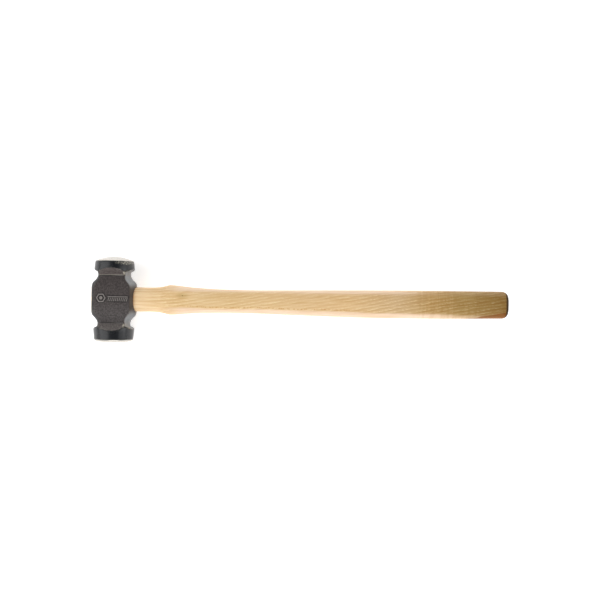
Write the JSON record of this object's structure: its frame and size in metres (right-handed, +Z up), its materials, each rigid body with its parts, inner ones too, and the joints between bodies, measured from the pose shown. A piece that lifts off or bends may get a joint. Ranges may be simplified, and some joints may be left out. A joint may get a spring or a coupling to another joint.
{
  "type": "rounding hammer",
  "caption": "Double-faced forging hammer: steel head with one crowned and one flat round face, necked between face rings and barrel, wedged on a straight ash handle.",
  "frame": {"origin": "middle of the underside of the whole hammer's box, as it lies on its side on a bench", "axes": "+X along the handle from the head to the butt, +Y out of the crowned face, +Z up, out of the upper cheek"},
  "size_m": [0.4576, 0.0942, 0.0442],
  "materials": {
    "forged_steel": "matte forged skin, satin black lacquer on the rings, polished faces",
    "ash": "smooth, thinly lacquered",
    "wedge_wood": "sawn hardwood",
    "wedge_steel": "dull steel"
  },
  "bodies": {
    "root": {"hammer_head": "forged_steel", "handle": "ash", "wooden_wedge": "wedge_wood", "steel_wedge_1": "wedge_steel", "steel_wedge_2": "wedge_steel"}
  },
  "joints": []
}
